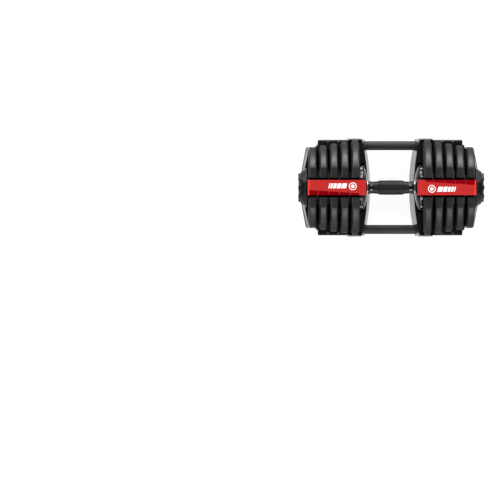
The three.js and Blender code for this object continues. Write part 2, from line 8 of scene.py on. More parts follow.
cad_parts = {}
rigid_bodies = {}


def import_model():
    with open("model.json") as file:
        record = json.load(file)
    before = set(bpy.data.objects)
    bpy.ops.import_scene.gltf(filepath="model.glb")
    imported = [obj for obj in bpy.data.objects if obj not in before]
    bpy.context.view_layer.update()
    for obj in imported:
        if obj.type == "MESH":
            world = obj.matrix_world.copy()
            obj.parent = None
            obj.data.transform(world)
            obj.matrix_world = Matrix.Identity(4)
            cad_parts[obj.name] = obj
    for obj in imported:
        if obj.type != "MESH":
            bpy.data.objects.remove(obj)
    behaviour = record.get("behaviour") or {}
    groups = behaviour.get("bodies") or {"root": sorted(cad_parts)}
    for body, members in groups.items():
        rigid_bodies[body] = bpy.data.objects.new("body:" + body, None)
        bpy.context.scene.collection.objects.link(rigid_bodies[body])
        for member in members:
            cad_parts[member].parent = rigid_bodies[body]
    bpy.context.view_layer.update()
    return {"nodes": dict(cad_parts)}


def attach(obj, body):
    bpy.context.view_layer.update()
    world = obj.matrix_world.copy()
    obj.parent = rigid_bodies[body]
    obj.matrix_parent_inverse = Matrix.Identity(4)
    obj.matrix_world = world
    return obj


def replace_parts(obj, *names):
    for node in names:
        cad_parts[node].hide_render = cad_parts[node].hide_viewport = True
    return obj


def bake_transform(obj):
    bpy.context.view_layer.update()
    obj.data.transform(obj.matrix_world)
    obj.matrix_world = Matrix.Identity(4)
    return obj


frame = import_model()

# Millimetres are used for every shape below; meshes are scaled to metres as they are made.
# The right half (+X) is modelled, and the left half is the same turned half a turn about Z.
MM = 0.001
AXIS = 122.0  # height of the handle's axis
BORE = 12.9  # radius of the holes round the handle's tube
SIDES = ("right", "left")
PLATES = 5


# ------------------------------------------------------------------ materials

def node(tree, kind, **values):
    made = tree.nodes.new(kind)
    for key, value in values.items():
        if hasattr(made, key):
            setattr(made, key, value)
    return made


def finish(
    name,
    color,
    roughness,
    metallic=0.0,
    specular=0.5,
    edge=1.0,
    blotch=(18.0, 0.12),
    rough_spread=0.06,
    grain=(1400.0, 0.10, 0.00012),
    second=None,
    wear=None,
    brushed=None,
    scratches=0.0,
    dust=0.0,
):
    """A procedural finish.

    edge dims the reflection at grazing angles. blotch is (scale, share of the colour), grain (scale,
    strength, metres), wear (colour, amount, radius in mm) along convex edges, and brushed the axes
    scaled along the brushing.
    """
    mat = bpy.data.materials.new(name)
    mat.use_nodes = True
    tree = mat.node_tree
    bsdf = tree.nodes["Principled BSDF"]
    link = tree.links.new
    bsdf.inputs["Metallic"].default_value = metallic
    bsdf.inputs["Specular IOR Level"].default_value = specular
    bsdf.inputs["Specular Tint"].default_value = (edge, edge, edge, 1.0)
    coords = node(tree, "ShaderNodeTexCoord").outputs["Object"]

    def noise(scale, detail=4.0, vector=coords, rough=0.55):
        made = node(tree, "ShaderNodeTexNoise")
        made.inputs["Scale"].default_value = scale
        made.inputs["Detail"].default_value = detail
        made.inputs["Roughness"].default_value = rough
        link(vector, made.inputs["Vector"])
        return made.outputs["Fac"]

    def span(value, low, high, new_low, new_high):
        made = node(tree, "ShaderNodeMapRange")
        for socket, number in zip(
            ("From Min", "From Max", "To Min", "To Max"), (low, high, new_low, new_high)
        ):
            made.inputs[socket].default_value = number
        link(value, made.inputs["Value"])
        return made.outputs["Result"]

    def math_node(operation, a, b):
        made = node(tree, "ShaderNodeMath", operation=operation)
        for socket, value in zip(made.inputs, (a, b)):
            if isinstance(value, (int, float)):
                socket.default_value = value
            else:
                link(value, socket)
        return made.outputs["Value"]

    def mix(factor, a, b):
        made = node(tree, "ShaderNodeMix", data_type="RGBA")
        link(factor, made.inputs["Factor"])
        for socket, value in ((made.inputs[6], a), (made.inputs[7], b)):
            if isinstance(value, tuple):
                socket.default_value = (*value, 1.0)
            else:
                link(value, socket)
        return made.outputs[2]

    scale, share = blotch
    low = tuple(c * (1 - share) for c in color)
    high = tuple(min(1.0, c * (1 + share)) for c in color)
    tone = mix(span(noise(scale), 0.3, 0.7, 0.0, 1.0), low, high)
    speckle = span(noise(grain[0] * 0.6, 2.0), 0.35, 0.65, 0.0, 1.0)
    tone = mix(math_node("MULTIPLY", speckle, 0.5), tone, second or high)
    if dust:
        lying = node(tree, "ShaderNodeNewGeometry").outputs["Normal"]
        up = node(tree, "ShaderNodeSeparateXYZ")
        link(lying, up.inputs[0])
        cover = math_node("MULTIPLY", span(up.outputs["Z"], 0.4, 1.0, 0.0, 1.0), noise(60.0, 8.0))
        tone = mix(math_node("MULTIPLY", cover, dust), tone, (0.32, 0.31, 0.3))

    grit = noise(grain[0], 3.0)
    rough = span(noise(scale * 4.3, 6.0), 0.3, 0.7, roughness - rough_spread, roughness + rough_spread)
    height = grit
    if brushed:
        mapping = node(tree, "ShaderNodeMapping")
        mapping.inputs["Scale"].default_value = brushed
        link(coords, mapping.inputs["Vector"])
        lines = noise(1.0, 6.0, mapping.outputs["Vector"], 0.7)
        height = math_node("ADD", math_node("MULTIPLY", lines, 1.6), math_node("MULTIPLY", grit, 0.4))
        rough = math_node("ADD", rough, span(lines, 0.3, 0.7, -0.06, 0.06))
    if scratches:
        stretch = node(tree, "ShaderNodeMapping")
        stretch.inputs["Scale"].default_value = (45.0, 900.0, 130.0)
        stretch.inputs["Rotation"].default_value = (0.3, 0.7, 0.5)
        link(coords, stretch.inputs["Vector"])
        scrape = span(noise(1.0, 2.0, stretch.outputs["Vector"]), 0.66, 0.72, 0.0, 1.0)
        rough = math_node("ADD", rough, math_node("MULTIPLY", scrape, scratches))
    if wear:
        worn, amount, radius = wear
        rounded = node(tree, "ShaderNodeBevel", samples=4)
        rounded.inputs["Radius"].default_value = radius * MM
        true = node(tree, "ShaderNodeNewGeometry").outputs["True Normal"]
        dot = node(tree, "ShaderNodeVectorMath", operation="DOT_PRODUCT")
        link(rounded.outputs["Normal"], dot.inputs[0])
        link(true, dot.inputs[1])
        edge = span(dot.outputs["Value"], 0.995, 0.86, 0.0, 1.0)
        patchy = span(noise(95.0, 6.0, rough=0.65), 0.42, 0.62, 0.0, 1.0)
        factor = math_node("MULTIPLY", math_node("MULTIPLY", edge, patchy), amount)
        tone = mix(factor, tone, worn)
    bump = node(tree, "ShaderNodeBump")
    bump.inputs["Strength"].default_value = grain[1]
    bump.inputs["Distance"].default_value = grain[2]
    link(height, bump.inputs["Height"])
    link(bump.outputs["Normal"], bsdf.inputs["Normal"])
    link(tone, bsdf.inputs["Base Color"])
    link(rough, bsdf.inputs["Roughness"])
    return mat


PLATE_PAINT = finish(
    "plate_paint", (0.0330, 0.0338, 0.0348), 0.36, metallic=0.59, specular=0.0, edge=0.42,
    grain=(900.0, 0.20, 0.00025), blotch=(14.0, 0.18), rough_spread=0.05,
    wear=((0.075, 0.075, 0.078), 0.5, 1.2), scratches=0.08, dust=0.006,
)
TRAY_PLASTIC = finish(
    "tray_plastic", (0.0052, 0.0054, 0.0057), 0.20, specular=0.15,
    grain=(1600.0, 0.12, 0.0001), blotch=(9.0, 0.14), rough_spread=0.04,
    wear=((0.03, 0.03, 0.031), 0.35, 0.9), scratches=0.10, dust=0.015,
)
BLACK_PLASTIC = finish(
    "black_plastic", (0.0050, 0.0052, 0.0055), 0.17, specular=0.2,
    grain=(1900.0, 0.12, 0.0001), blotch=(30.0, 0.15), rough_spread=0.04,
    wear=((0.03, 0.03, 0.031), 0.4, 0.7), dust=0.01,
)
HUB_PLASTIC = finish(
    "hub_plastic", (0.0030, 0.0031, 0.0033), 0.13, specular=0.06,
    grain=(1900.0, 0.08, 0.00008), blotch=(30.0, 0.15), rough_spread=0.03,
)
DIAL_PLASTIC = finish(
    "dial_plastic", (0.0064, 0.0066, 0.0069), 0.30, specular=0.11,
    grain=(1900.0, 0.12, 0.0001), blotch=(30.0, 0.15), rough_spread=0.04,
    wear=((0.03, 0.03, 0.031), 0.4, 0.7), dust=0.01,
)
RED_PLASTIC = finish(
    "red_plastic", (0.375, 0.0215, 0.0200), 0.36, metallic=0.06, specular=0.0, edge=0.3,
    grain=(1500.0, 0.10, 0.00008), blotch=(12.0, 0.07), rough_spread=0.04,
    wear=((0.62, 0.08, 0.07), 0.4, 0.8), scratches=0.06,
)
# a lighter copy of the cover's red plastic: a painted highlight on the cover's outer end
PAINTED_HIGHLIGHT_RED = finish(
    "painted_highlight_red_plastic", (0.62, 0.034, 0.029), 0.34, metallic=0.06, specular=0.0, edge=0.3,
    grain=(1500.0, 0.10, 0.00008), blotch=(12.0, 0.06), rough_spread=0.04,
)
# a darker copy of the cover's red plastic: painted shade on the cover's upward-facing bevels
PAINTED_SHADE_RED = finish(
    "painted_shade_red_plastic", (0.185, 0.0008, 0.0042), 0.36, metallic=0.06, specular=0.0, edge=0.3,
    grain=(1500.0, 0.14, 0.0001), blotch=(20.0, 0.10), rough_spread=0.05,
)
GREY_PRINT = finish(
    "grey_print", (0.42, 0.42, 0.42), 0.5, grain=(2500.0, 0.10, 0.00005), blotch=(60.0, 0.06),
)
WHITE_PRINT = finish(
    "white_print", (0.86, 0.86, 0.85), 0.45, grain=(2500.0, 0.10, 0.00005), blotch=(60.0, 0.04),
)
GRIP_RUBBER = finish(
    "grip_rubber", (0.0270, 0.0275, 0.0280), 0.40, metallic=0.45, specular=0.0, edge=0.3,
    grain=(1300.0, 0.35, 0.00015), blotch=(40.0, 0.16), rough_spread=0.06, dust=0.006,
)
RAIL_PAINT = finish(
    "rail_paint", (0.0400, 0.0404, 0.0410), 0.5, metallic=0.20, specular=0.0, edge=0.20,
    grain=(1100.0, 0.24, 0.0002), blotch=(16.0, 0.15), rough_spread=0.05,
    wear=((0.08, 0.08, 0.082), 0.5, 0.8), scratches=0.08,
)
STEEL = finish(
    "turned_steel", (0.20, 0.20, 0.21), 0.30, metallic=1.0,
    grain=(1500.0, 0.05, 0.00005), blotch=(30.0, 0.05), brushed=(1200.0, 30.0, 30.0),
)
ZINC = finish(
    "plated_steel", (0.50, 0.51, 0.52), 0.33, metallic=1.0,
    grain=(1000.0, 0.10, 0.00008), blotch=(50.0, 0.14), rough_spread=0.08,
    second=(0.56, 0.55, 0.50), scratches=0.15,
)
BLACK_STEEL = finish(
    "blackened_steel", (0.014, 0.014, 0.015), 0.42, metallic=1.0,
    grain=(1000.0, 0.12, 0.0001), blotch=(50.0, 0.18), rough_spread=0.08,
    second=(0.024, 0.022, 0.021), scratches=0.12,
)
FOOT_RUBBER = finish(
    "foot_rubber", (0.012, 0.012, 0.012), 0.8,
    grain=(900.0, 0.6, 0.0003), blotch=(60.0, 0.2), dust=0.1,
)


# ------------------------------------------------------------------ mesh tools

def turn_for(side):
    return Matrix.Rotation(math.pi if side == "left" else 0.0, 4, "Z")


def shade(bm, angle=32.0):
    """Smooth shading, with edges sharper than angle left crisp."""
    limit = math.radians(angle)
    for face in bm.faces:
        face.smooth = True
    for edge in bm.edges:
        flat = len(edge.link_faces) == 2 and edge.calc_face_angle(0.0) < limit
        edge.smooth = flat


def make(name, bm, material, angle=32.0, weighted=False, materials=()):
    """The bmesh, in millimetres, as an object in metres. Frees the bmesh."""
    bmesh.ops.recalc_face_normals(bm, faces=bm.faces)
    shade(bm, angle)
    bm.transform(Matrix.Scale(MM, 4))
    mesh = bpy.data.meshes.new(name)
    bm.to_mesh(mesh)
    bm.free()
    obj = bpy.data.objects.new(name, mesh)
    bpy.context.scene.collection.objects.link(obj)
    for each in (material, *materials):
        mesh.materials.append(each)
    if weighted:
        obj.modifiers.new("normals", "WEIGHTED_NORMAL").keep_sharp = True
    return obj


def place(obj, side, body, slot, *nodes):
    """Turns the piece to its side, ties it to its CAD body, and hides the CAD nodes it stands for. The slot
    argument is not used.
    """
    obj.data.transform(turn_for(side))
    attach(obj, body)
    if nodes:
        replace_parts(obj, *nodes)
    return obj


def fillet(points, radius, steps=3):
    """The outline with each corner rounded to at most radius."""
    count = len(points)
    made = []
    for i, corner in enumerate(points):
        here = Vector((corner[0], corner[1]))
        before = Vector(points[i - 1][:2]) - here
        after = Vector(points[(i + 1) % count][:2]) - here
        if before.length < 1e-6 or after.length < 1e-6:
            made.append(tuple(corner))
            continue
        angle = before.angle(after)
        if angle > math.radians(172):
            made.append(tuple(corner))
            continue
        r = corner[2] if len(corner) > 2 else radius
        cut = min(r / math.tan(angle / 2), before.length * 0.45, after.length * 0.45)
        start = here + before.normalized() * cut
        end = here + after.normalized() * cut
        for k in range(steps + 1):
            t = k / steps
            p = start * (1 - t) ** 2 + here * 2 * t * (1 - t) + end * t * t
            made.append((p.x, p.y))
    return made


def lathe(profile, segments, z=AXIS, y=0.0):
    """A closed [x, radius] outline turned about the X axis at height z."""
    bm = bmesh.new()
    rings = []
    for x, r in profile:
        if r < 1e-6:
            only = bm.verts.new((x, y, z))
            rings.append([only] * segments)
            continue
        ring = []
        for k in range(segments):
            a = 2 * math.pi * k / segments
            ring.append(bm.verts.new((x, y + r * math.cos(a), z + r * math.sin(a))))
        rings.append(ring)
    for i, ring in enumerate(rings):
        after = rings[(i + 1) % len(rings)]
        for k in range(segments):
            j = (k + 1) % segments
            corners = []
            for v in (ring[k], ring[j], after[j], after[k]):
                if v not in corners:
                    corners.append(v)
            if len(corners) >= 3:
                bm.faces.new(corners)
    return bm


def prism(outline, axis, low, high):
    """An outline extruded along X (points are y, z), Y (x, z) or Z (x, y)."""
    at = {
        "X": lambda a, b, c: (c, a, b),
        "Y": lambda a, b, c: (a, c, b),
        "Z": lambda a, b, c: (a, b, c),
    }[axis]
    bm = bmesh.new()
    ends = [[bm.verts.new(at(p[0], p[1], c)) for p in outline] for c in (low, high)]
    for ring in ends:
        bm.faces.new(ring)
    count = len(outline)
    for i in range(count):
        j = (i + 1) % count
        bm.faces.new((ends[0][i], ends[0][j], ends[1][j], ends[1][i]))
    bmesh.ops.recalc_face_normals(bm, faces=bm.faces)
    return bm


def box(x, y, z, bevel=0.0, segments=2):
    bm = prism([(x[0], y[0]), (x[1], y[0]), (x[1], y[1]), (x[0], y[1])], "Z", *z)
    if bevel:
        bmesh.ops.bevel(
            bm, geom=bm.edges[:], offset=bevel, segments=segments, profile=0.5, affect="EDGES"
        )
    return bm


def add(bm, other, matrix=None):
    """Adds the other bmesh's islands to bm, and frees it."""
    if matrix is not None:
        other.transform(matrix)
    mesh = bpy.data.meshes.new("part")
    other.to_mesh(mesh)
    other.free()
    bm.from_mesh(mesh)
    bpy.data.meshes.remove(mesh)
    return bm


def evaluated(obj):
    """The object's mesh with its modifiers, as a bmesh."""
    bm = bmesh.new()
    graph = bpy.context.evaluated_depsgraph_get()
    bm.from_object(obj, graph)
    return bm


def carve(bm, cutters):
    """Cuts the cutters out of the bmesh, and returns the result. Frees them all."""
    scene = bpy.context.scene.collection.objects

    def temporary(source):
        mesh = bpy.data.meshes.new("carve")
        source.to_mesh(mesh)
        source.free()
        obj = bpy.data.objects.new("carve", mesh)
        scene.link(obj)
        return obj

    base = temporary(bm)
    tools = [temporary(c) for c in cutters]
    for tool in tools:
        modifier = base.modifiers.new("carve", "BOOLEAN")
        modifier.operation = "DIFFERENCE"
        modifier.object = tool
        modifier.solver = "EXACT"
    made = evaluated(base)
    for obj in (base, *tools):
        mesh = obj.data
        bpy.data.objects.remove(obj)
        bpy.data.meshes.remove(mesh)
    return made


def soften(bm, width, angle=28.0, segments=2):
    """Bevels every edge sharper than angle, after dissolving flat joins."""
    bmesh.ops.remove_doubles(bm, verts=bm.verts, dist=0.004)
    bmesh.ops.dissolve_limit(
        bm, angle_limit=math.radians(0.6), verts=bm.verts, edges=bm.edges
    )
    limit = math.radians(angle)
    sharp = [
        e for e in bm.edges if len(e.link_faces) == 2 and e.calc_face_angle(0.0) > limit
    ]
    bmesh.ops.bevel(
        bm, geom=sharp, offset=width, segments=segments, profile=0.5,
        affect="EDGES", clamp_overlap=True,
    )
    return bm


# ------------------------------------------------------------------ weight plates

FIRST_PLATE = 86.3
PITCH = 25.4
LARGEST_RADIUS = 114.0
RADIUS_STEP = 4.5
BODY_HALF = 9.8
RIM_HALF = 7.0
BEVEL_WIDTH = 10.0
FLAT_HALF_WIDTH = 47.0


def plate_x(i):
    return FIRST_PLATE + i * PITCH


def plate_radius(i):
    return LARGEST_RADIUS - RADIUS_STEP * i


def plate_flat(i):
    return math.sqrt(plate_radius(i) ** 2 - FLAT_HALF_WIDTH ** 2)


def plate_angles(i, count=200):
    """Angles round the plate, with one on each corner where the flats start."""
    corner = math.atan2(plate_flat(i), FLAT_HALF_WIDTH)
    exact = [corner, math.pi - corner, math.pi + corner, 2 * math.pi - corner]
    angles = [2 * math.pi * k / count for k in range(count)]
    for a in exact:
        nearest = min(range(count), key=lambda k: abs(angles[k] - a))
        angles[nearest] = a
    return sorted(angles)


def plate_profile(radius, reach):
    """[offset from the middle, radius] from one face's centre over the rim to the other's."""

    def half(r):
        fall = max(0.0, min(1.0, (radius - r) / 8.6))
        return RIM_HALF + (BODY_HALF - RIM_HALF) * fall ** 2.2

    shoulder = min(radius - BEVEL_WIDTH, reach - 2.4)
    rim = half(reach)
    side = [
        (BODY_HALF, 30.0),
        (BODY_HALF, 49.0),
        (BODY_HALF - 0.7, 49.8),
        (BODY_HALF - 0.7, 52.2),
        (BODY_HALF, 53.0),
        (BODY_HALF, shoulder - 7.5),
        (BODY_HALF - 0.6, shoulder - 7.0),
        (BODY_HALF - 0.6, shoulder - 5.8),
        (BODY_HALF, shoulder - 5.3),
        (BODY_HALF, shoulder - 0.8),
    ]
    steps = 5
    for k in range(steps):
        r = shoulder + (reach - 2.1 - shoulder) * k / (steps - 1)
        side.append((half(r) - (0.1 if k == 0 else 0.0), r))
    side += [
        (rim - 0.18, reach - 1.25),
        (rim - 0.65, reach - 0.62),
        (rim - 1.4, reach - 0.24),
        (rim - 2.4, reach - 0.06),
        (4.1, reach),
        (3.9, reach - 0.3),
        (3.5, reach - 0.3),
        (3.3, reach),
        (1.6, reach + 0.03),
    ]
    return [(-x, r) for x, r in side] + [(x, r) for x, r in reversed(side)]


def weight_plate(i):
    radius, middle, flat = plate_radius(i), plate_x(i), plate_flat(i)
    bm = bmesh.new()
    rings = []
    for a in plate_angles(i):
        c, s = math.cos(a), math.sin(a)
        reach = min(radius, flat / abs(s)) if abs(s) > 1e-6 else radius
        rings.append([
            bm.verts.new((middle + x, r * c, AXIS + r * s)) for x, r in plate_profile(radius, reach)
        ])
    centres = [bm.verts.new((middle + x, 0, AXIS)) for x in (-BODY_HALF, BODY_HALF)]
    for k, ring in enumerate(rings):
        after = rings[(k + 1) % len(rings)]
        for j in range(len(ring) - 1):
            bm.faces.new((ring[j], ring[j + 1], after[j + 1], after[j]))
        bm.faces.new((centres[0], ring[0], after[0]))
        bm.faces.new((centres[1], after[-1], ring[-1]))
    bmesh.ops.recalc_face_normals(bm, faces=bm.faces)
    slot = [(19.0, 26.0), (23.4, 41.0), (23.4, 125.0), (-23.4, 125.0), (-23.4, 41.0), (-19.0, 26.0)]
    slot += [
        (19 * math.cos(math.pi * (1 + k / 24)), 19 * math.sin(math.pi * (1 + k / 24)))
        for k in range(25)
    ]
    cutter = prism([(y, AXIS + z) for y, z in slot], "X", middle - 12, middle + 12)
    bm = carve(bm, [cutter])
    hook = box((middle - 12.8, middle - 9.6), (-7, 7), (AXIS - 36, AXIS - 28), 0.5)
    add(bm, hook)
    # rivets that hold the hook and the slot's liner
    for y, z in ((-24, -24), (24, -24), (-26, 18), (26, 18), (-34, 62), (34, 62)):
        for face in (-1, 1):
            dome = lathe(
                [(0, 0), (-0.6, 0), (-0.6, 3.2), (0.5, 3.0), (0.9, 2.0), (1.0, 0)], 20, z=0
            )
            flip = Matrix.Scale(face, 4, (1, 0, 0))
            move = Matrix.Translation((middle + face * BODY_HALF, y, AXIS + z))
            add(bm, dome, move @ flip)
    return bm


# ------------------------------------------------------------------ top cover

COVER = (60.8, 199.8)
COVER_HALF = 18.0
SLOPE = (plate_flat(4) - plate_flat(0)) / (4 * PITCH)


def ridge(x):
    return AXIS + plate_flat(0) + 2.5 + SLOPE * (x - FIRST_PLATE)


def cover_side(inset):
    inner, outer = COVER
    foot = 186.0
    skirt = 14.0
    return [
        (inner + inset, foot - 1.2 * inset),
        (inner + 0.8 + inset, 212 - inset),
        (63.2 + inset, 220.5 - inset),
        (66 + inset, 225.5 - inset),
        (70 + inset * 0.6, 228.6 - inset),
        (75, ridge(75) - inset),
        (outer - 4, ridge(outer - 4) - inset),
        (outer - inset, ridge(outer) - 2.6 - inset),
        (outer - inset, ridge(outer) - skirt - 1.2 * inset),
        (78, ridge(78) - skirt - 1.2 * inset),
        (72, foot - 1.2 * inset),
    ]


def wedge(low, high, side, width, drop):
    """Cuts a long edge of the cover to a bevel that is width[k] wide and drop[k] deep at each end."""
    bm = bmesh.new()
    ends = []
    for k, x in enumerate((low, high)):
        top = ridge(x) + 6
        fall = drop[k] * (1 + 6 / width[k])
        ends.append([
            bm.verts.new((x, side * (COVER_HALF - width[k] - 6), top)),
            bm.verts.new((x, side * (COVER_HALF + 6), top)),
            bm.verts.new((x, side * (COVER_HALF + 6), top - 6 - fall)),
        ])
    for ring in ends:
        bm.faces.new(ring)
    for i in range(3):
        j = (i + 1) % 3
        bm.faces.new((ends[0][i], ends[0][j], ends[1][j], ends[1][i]))
    bmesh.ops.recalc_face_normals(bm, faces=bm.faces)
    return bm


BEVEL = {"low": 76.0, "high": 200.8, "width": (5.0, 13.0), "drop": (1.2, 2.0)}


def bevel_frame(x):
    """The wide bevel's inner and outer edge at x, as (y, z) points."""
    t = (x - BEVEL["low"]) / (BEVEL["high"] - BEVEL["low"])
    width = BEVEL["width"][0] + t * (BEVEL["width"][1] - BEVEL["width"][0])
    drop = BEVEL["drop"][0] + t * (BEVEL["drop"][1] - BEVEL["drop"][0])
    return (COVER_HALF - width, ridge(x)), (COVER_HALF, ridge(x) - drop)


def top_cover():
    shell = carve(
        prism(cover_side(0), "Y", -COVER_HALF, COVER_HALF),
        [
            prism(cover_side(2.5), "Y", 2.5 - COVER_HALF, COVER_HALF - 2.5),
            wedge(76, 200.8, 1, BEVEL["width"], BEVEL["drop"]),
            wedge(76, 200.8, -1, (2, 2), (1, 1)),
        ],
    )
    # shallow pockets along the wide bevel, one over each plate
    pockets = []
    for i in range(PLATES):
        low = max(plate_x(i) - 11.9, 78.5)
        high = min(plate_x(i) + 11.9, 196.6)
        bm = bmesh.new()
        rings = []
        for x in (low, high):
            inner, outer = bevel_frame(x)
            y0, y1 = inner[0] + 0.7, COVER_HALF + 2
            z0 = inner[1] + (outer[1] - inner[1]) * 0.7 / (outer[0] - inner[0])
            z1 = inner[1] + (outer[1] - inner[1]) * (y1 - inner[0]) / (outer[0] - inner[0])
            rings.append([
                bm.verts.new(p)
                for p in ((x, y0, z0 - 0.6), (x, y1, z1 - 0.6), (x, y1, z1 + 3), (x, y0, z0 + 3))
            ])
        for ring in rings:
            bm.faces.new(ring)
        for a in range(4):
            b = (a + 1) % 4
            bm.faces.new((rings[0][a], rings[0][b], rings[1][b], rings[1][a]))
        bmesh.ops.recalc_face_normals(bm, faces=bm.faces)
        pockets.append(bm)
    shell = carve(shell, pockets)
    shell = soften(shell, 0.55, segments=3)
    shell.normal_update()
    # upward faces on the wide bevel and on the narrow far edge take the darker red copy, a painted shade
    for face in shell.faces:
        on_bevel = all(
            78 < v.co.x < 197.5 and v.co.y > bevel_frame(v.co.x)[0][0] - 0.3 for v in face.verts
        )
        on_edge = all(78 < v.co.x < 197.5 and v.co.y < 2.4 - COVER_HALF for v in face.verts)
        if (on_bevel or on_edge) and face.normal.z > 0.3:
            face.material_index = 1
        # upward faces at the cover's outer end take the lighter red copy, a painted highlight
        if face.normal.z > 0.3 and all(v.co.x > 195.4 for v in face.verts):
            face.material_index = 2
    return shell


def on_ridge(x, y, lift):
    return (x, y, ridge(x) + lift)


def cover_mark():
    """A plain ring round a hexagon, and a row of slanted bars beside it."""
    bm = bmesh.new()
    thick = (-0.35, 0.12)

    def slab(outline):
        rings = [[bm.verts.new(on_ridge(x, y, lift)) for x, y in outline] for lift in thick]
        bm.faces.new(rings[1])
        bm.faces.new(list(reversed(rings[0])))
        for a in range(len(outline)):
            b = (a + 1) % len(outline)
            bm.faces.new((rings[0][a], rings[0][b], rings[1][b], rings[1][a]))

    def ring(cx, cy, outer, inner, count=48):
        for k in range(count):
            a, b = (2 * math.pi * n / count for n in (k, k + 1))
            slab([
                (cx + outer * math.cos(a), cy + outer * math.sin(a)),
                (cx + outer * math.cos(b), cy + outer * math.sin(b)),
                (cx + inner * math.cos(b), cy + inner * math.sin(b)),
                (cx + inner * math.cos(a), cy + inner * math.sin(a)),
            ])

    cx, cy = 93.7, -3.0
    ring(cx, cy, 9.2, 7.4)
    hexagon = [k * math.pi / 3 for k in range(6)]
    slab([(cx + 4.6 * math.cos(a), cy + 4.6 * math.sin(a)) for a in hexagon])
    x = 106.4
    for width in (11.5, 8.6, 6.2, 4.2, 2.6):
        slab([(x, -9.8), (x + width, -9.8), (x + width + 3.4, 1.8), (x + 3.4, 1.8)])
        x += width + 2.2
    bmesh.ops.remove_doubles(bm, verts=bm.verts, dist=0.001)
    return bm


# ------------------------------------------------------------------ hub, ring and couplings

def hub_dome():
    back = 65.6
    front = [
        (back, BORE), (56.6, BORE), (56.6, 18.0), (56.9, 21.0), (57.3, 26.0), (58.05, 30.2),
        (58.9, 34.0), (60.0, 38.0), (61.0, 40.8), (60.9, 41.3), (61.4, 42.6), (61.9, 43.2),
        (62.7, 45.6), (64.0, 48.4), (64.5, 50.6), (65.1, 51.7), (back, 52.0),
    ]
    bm = lathe(front, 112)
    ear = box((61.5, back), (-12, 12), (AXIS + 44, 176.6), 0.8)
    guide = box((62, back + 1), (-6.5, 6.5), (AXIS - 60, AXIS - 18))
    well = box((58.6, back + 1), (-4, 4), (AXIS - 31, AXIS - 15))
    bm = carve(bm, [guide, well])
    add(bm, ear)
    # small ribs round the dome's skirt
    for k in range(36):
        a = 2 * math.pi * (k + 0.5) / 36
        if abs(math.sin(a)) > 0.93:
            continue
        rib = box((60.6, 62.6), (-0.8, 0.8), (42.6, 47.2), 0.35)
        for v in rib.verts:
            v.co.x += (v.co.z - 42.6) * 0.46 + 0.6
        add(bm, rib, Matrix.Translation((0, 0, AXIS)) @ Matrix.Rotation(a, 4, "X"))
    return bm


def hub_bezel():
    """A thin bright ring round the hub's front."""
    outline = [(57.2, 16.6), (55.5, 16.6), (55.5, 18.2), (56.1, 18.8), (57.2, 18.8)]
    return lathe(fillet(outline, 0.3), 72)


RING_FRONT, RING_BACK, RING_END = 66.2, 70.6, 75.0
RING_RADIUS = 53.0
STOPS = 12
WEIGHTS = (101, 86, 84, 69, 67, 65, 50, 48, 46, 45, 29, 7)  # pounds at each stop


def number_ring():
    band = 47.0
    profile = fillet(
        [
            (RING_FRONT, 18.2), (RING_FRONT, RING_RADIUS - 1.2), (RING_FRONT + 1.2, RING_RADIUS),
            (RING_END, RING_RADIUS), (RING_END, band), (RING_BACK, band), (RING_BACK, 18.2),
        ],
        0.4,
    )
    bm = lathe(profile, 120)
    slots = []
    groove = lathe([(65.2, 27), (65.2, 39), (68.8, 39), (68.8, 27)], 72)
    slots.append(groove)
    for k in range(STOPS):
        notch = box((65.2, 68.8), (-3.7, 3.7), (37.5, 45.5))
        angle = math.pi + 2 * math.pi * k / STOPS
        notch.transform(Matrix.Translation((0, 0, AXIS)) @ Matrix.Rotation(angle, 4, "X"))
        slots.append(notch)
    return carve(bm, slots)


def text_mesh(text, size):
    """The outline of a number as a flat mesh centred on the origin, in millimetres."""
    curve = bpy.data.curves.new("digits", "FONT")
    curve.body = text
    curve.size = size
    curve.align_x, curve.align_y = "CENTER", "CENTER"
    curve.resolution_u = 3
    curve.offset = 0.02 * size
    curve.extrude = 0.12
    obj = bpy.data.objects.new("digits", curve)
    bpy.context.scene.collection.objects.link(obj)
    flat = bpy.data.meshes.new_from_object(obj.evaluated_get(bpy.context.evaluated_depsgraph_get()))
    bm = bmesh.new()
    bm.from_mesh(flat)
    bpy.data.meshes.remove(flat)
    bpy.data.objects.remove(obj)
    bpy.data.curves.remove(curve)
    return bm


def ring_numbers():
    """The weights printed round the number ring's band."""
    bm = bmesh.new()
    middle = (RING_FRONT + 1.2 + RING_END) / 2
    for k, weight in enumerate(WEIGHTS):
        digits = text_mesh(str(weight), 7.8)
        bmesh.ops.subdivide_edges(
            digits, edges=[e for e in digits.edges if e.calc_length() > 1.5], cuts=2
        )
        for v in digits.verts:
            across, up, out = v.co
            angle = math.pi / 2 + 2 * math.pi * k / STOPS + across / RING_RADIUS
            radius = RING_RADIUS + 0.02 + out
            v.co = (middle + up, radius * math.cos(angle), AXIS + radius * math.sin(angle))
        add(bm, digits)
    # a tick between every two numbers
    for k in range(STOPS):
        tick = box((RING_FRONT + 2, RING_FRONT + 5), (-0.45, 0.45), (RING_RADIUS - 0.3, RING_RADIUS + 0.12))
        angle = 2 * math.pi * (k + 0.5) / STOPS
        add(bm, tick, Matrix.Translation((0, 0, AXIS)) @ Matrix.Rotation(angle, 4, "X"))
    return bm


TOOTH_HALF_ANGLE = 0.36


